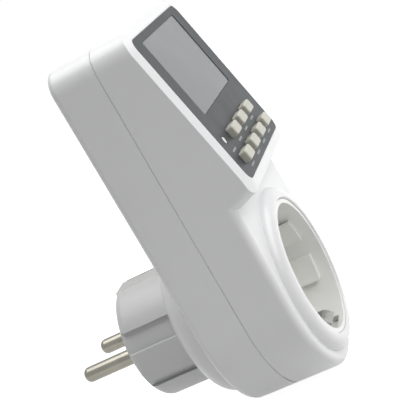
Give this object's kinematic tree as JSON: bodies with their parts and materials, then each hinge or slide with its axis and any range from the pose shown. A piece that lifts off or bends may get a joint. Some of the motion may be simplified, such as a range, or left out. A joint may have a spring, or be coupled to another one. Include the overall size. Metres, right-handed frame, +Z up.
{
  "type": "plug in timer switch",
  "caption": "Plug-in mains timer switch: round plug behind, round socket in front, tilted display panel with a liquid crystal window and small push keys above it.",
  "frame": {"origin": "centre of the plug face that meets the wall socket, between the two pins", "axes": "+Y along the pins towards the wall, +Z up, +X to the right of someone facing the display"},
  "size_m": [0.0586, 0.0815, 0.1147],
  "materials": {
    "white_plastic": "smooth satin moulding",
    "cup_plastic": "smooth satin moulding",
    "nickel_pins": "bright nickel plate",
    "contact_brass": "bare sheet",
    "dark_insulator": "fine moulded texture",
    "grey_panel": "satin printed film",
    "clear_window": "polished clear plastic",
    "lcd_grey": "polarised display glass",
    "silicone_rubber": "matt silicone",
    "key_cream": "satin moulding",
    "board_green": "solder resist",
    "chip_black": "moulded epoxy",
    "relay_blue": "smooth moulding",
    "capacitor_yellow": "smooth moulding",
    "battery_sleeve": "shrink sleeve",
    "ribbon_grey": "flexible ribbon",
    "steel": "zinc plated"
  },
  "bodies": {
    "root": {"backup_battery": "battery_sleeve", "board_link": "ribbon_grey", "casing_screws": "steel", "clock_crystal": "steel", "contact_carrier": "dark_insulator", "control_board": "board_green", "control_board_screws": "steel", "display_panel": "grey_panel", "dropper_capacitor": "capacitor_yellow", "front_casing": "white_plastic", "fuse_resistor": "battery_sleeve", "keypad_mat": "silicone_rubber", "lcd_frame": "dark_insulator", "lcd_glass": "lcd_grey", "lcd_window": "clear_window", "live_contact": "contact_brass", "live_strap": "contact_brass", "neutral_contact": "contact_brass", "neutral_strap": "contact_brass", "plug_body": "white_plastic", "plug_earth_strip_lower": "nickel_pins", "plug_earth_strip_upper": "nickel_pins", "plug_pin_live": "nickel_pins", "plug_pin_neutral": "nickel_pins", "power_board": "board_green", "power_board_screws": "steel", "processor_chip": "chip_black", "rear_casing": "white_plastic", "rectifier_diodes": "chip_black", "relay": "relay_blue", "smoothing_capacitor": "chip_black", "socket_cup": "cup_plastic", "socket_earth_spring": "nickel_pins", "varistor": "relay_blue", "zebra_strip": "silicone_rubber"},
    "key_lower_far_left_body": {"key_lower_far_left": "key_cream"},
    "key_lower_far_right_body": {"key_lower_far_right": "key_cream"},
    "key_lower_left_body": {"key_lower_left": "key_cream"},
    "key_lower_right_body": {"key_lower_right": "key_cream"},
    "key_upper_left_body": {"key_upper_left": "key_cream"},
    "key_upper_middle_body": {"key_upper_middle": "key_cream"},
    "key_upper_right_body": {"key_upper_right": "key_cream"},
    "reset_button_body": {"reset_button": "white_plastic"}
  },
  "joints": [
    {"name": "key_lower_far_left_press", "type": "slide", "parent": "root", "child": "key_lower_far_left_body", "axis": [0, 0.9777, -0.21], "range_m": [0, 0.0008], "stiffness_N_per_m": 600, "springref_m": -0.0005},
    {"name": "key_lower_far_right_press", "type": "slide", "parent": "root", "child": "key_lower_far_right_body", "axis": [0, 0.9777, -0.21], "range_m": [0, 0.0008], "stiffness_N_per_m": 600, "springref_m": -0.0005},
    {"name": "key_lower_left_press", "type": "slide", "parent": "root", "child": "key_lower_left_body", "axis": [0, 0.9777, -0.21], "range_m": [0, 0.0008], "stiffness_N_per_m": 600, "springref_m": -0.0005},
    {"name": "key_lower_right_press", "type": "slide", "parent": "root", "child": "key_lower_right_body", "axis": [0, 0.9777, -0.21], "range_m": [0, 0.0008], "stiffness_N_per_m": 600, "springref_m": -0.0005},
    {"name": "key_upper_left_press", "type": "slide", "parent": "root", "child": "key_upper_left_body", "axis": [0, 0.9777, -0.21], "range_m": [0, 0.0008], "stiffness_N_per_m": 600, "springref_m": -0.0005},
    {"name": "key_upper_middle_press", "type": "slide", "parent": "root", "child": "key_upper_middle_body", "axis": [0, 0.9777, -0.21], "range_m": [0, 0.0008], "stiffness_N_per_m": 600, "springref_m": -0.0005},
    {"name": "key_upper_right_press", "type": "slide", "parent": "root", "child": "key_upper_right_body", "axis": [0, 0.9777, -0.21], "range_m": [0, 0.0008], "stiffness_N_per_m": 600, "springref_m": -0.0005},
    {"name": "reset_button_press", "type": "slide", "parent": "root", "child": "reset_button_body", "axis": [0, 0.9777, -0.21], "range_m": [0, 0.0006], "stiffness_N_per_m": 600, "springref_m": -0.0005}
  ]
}
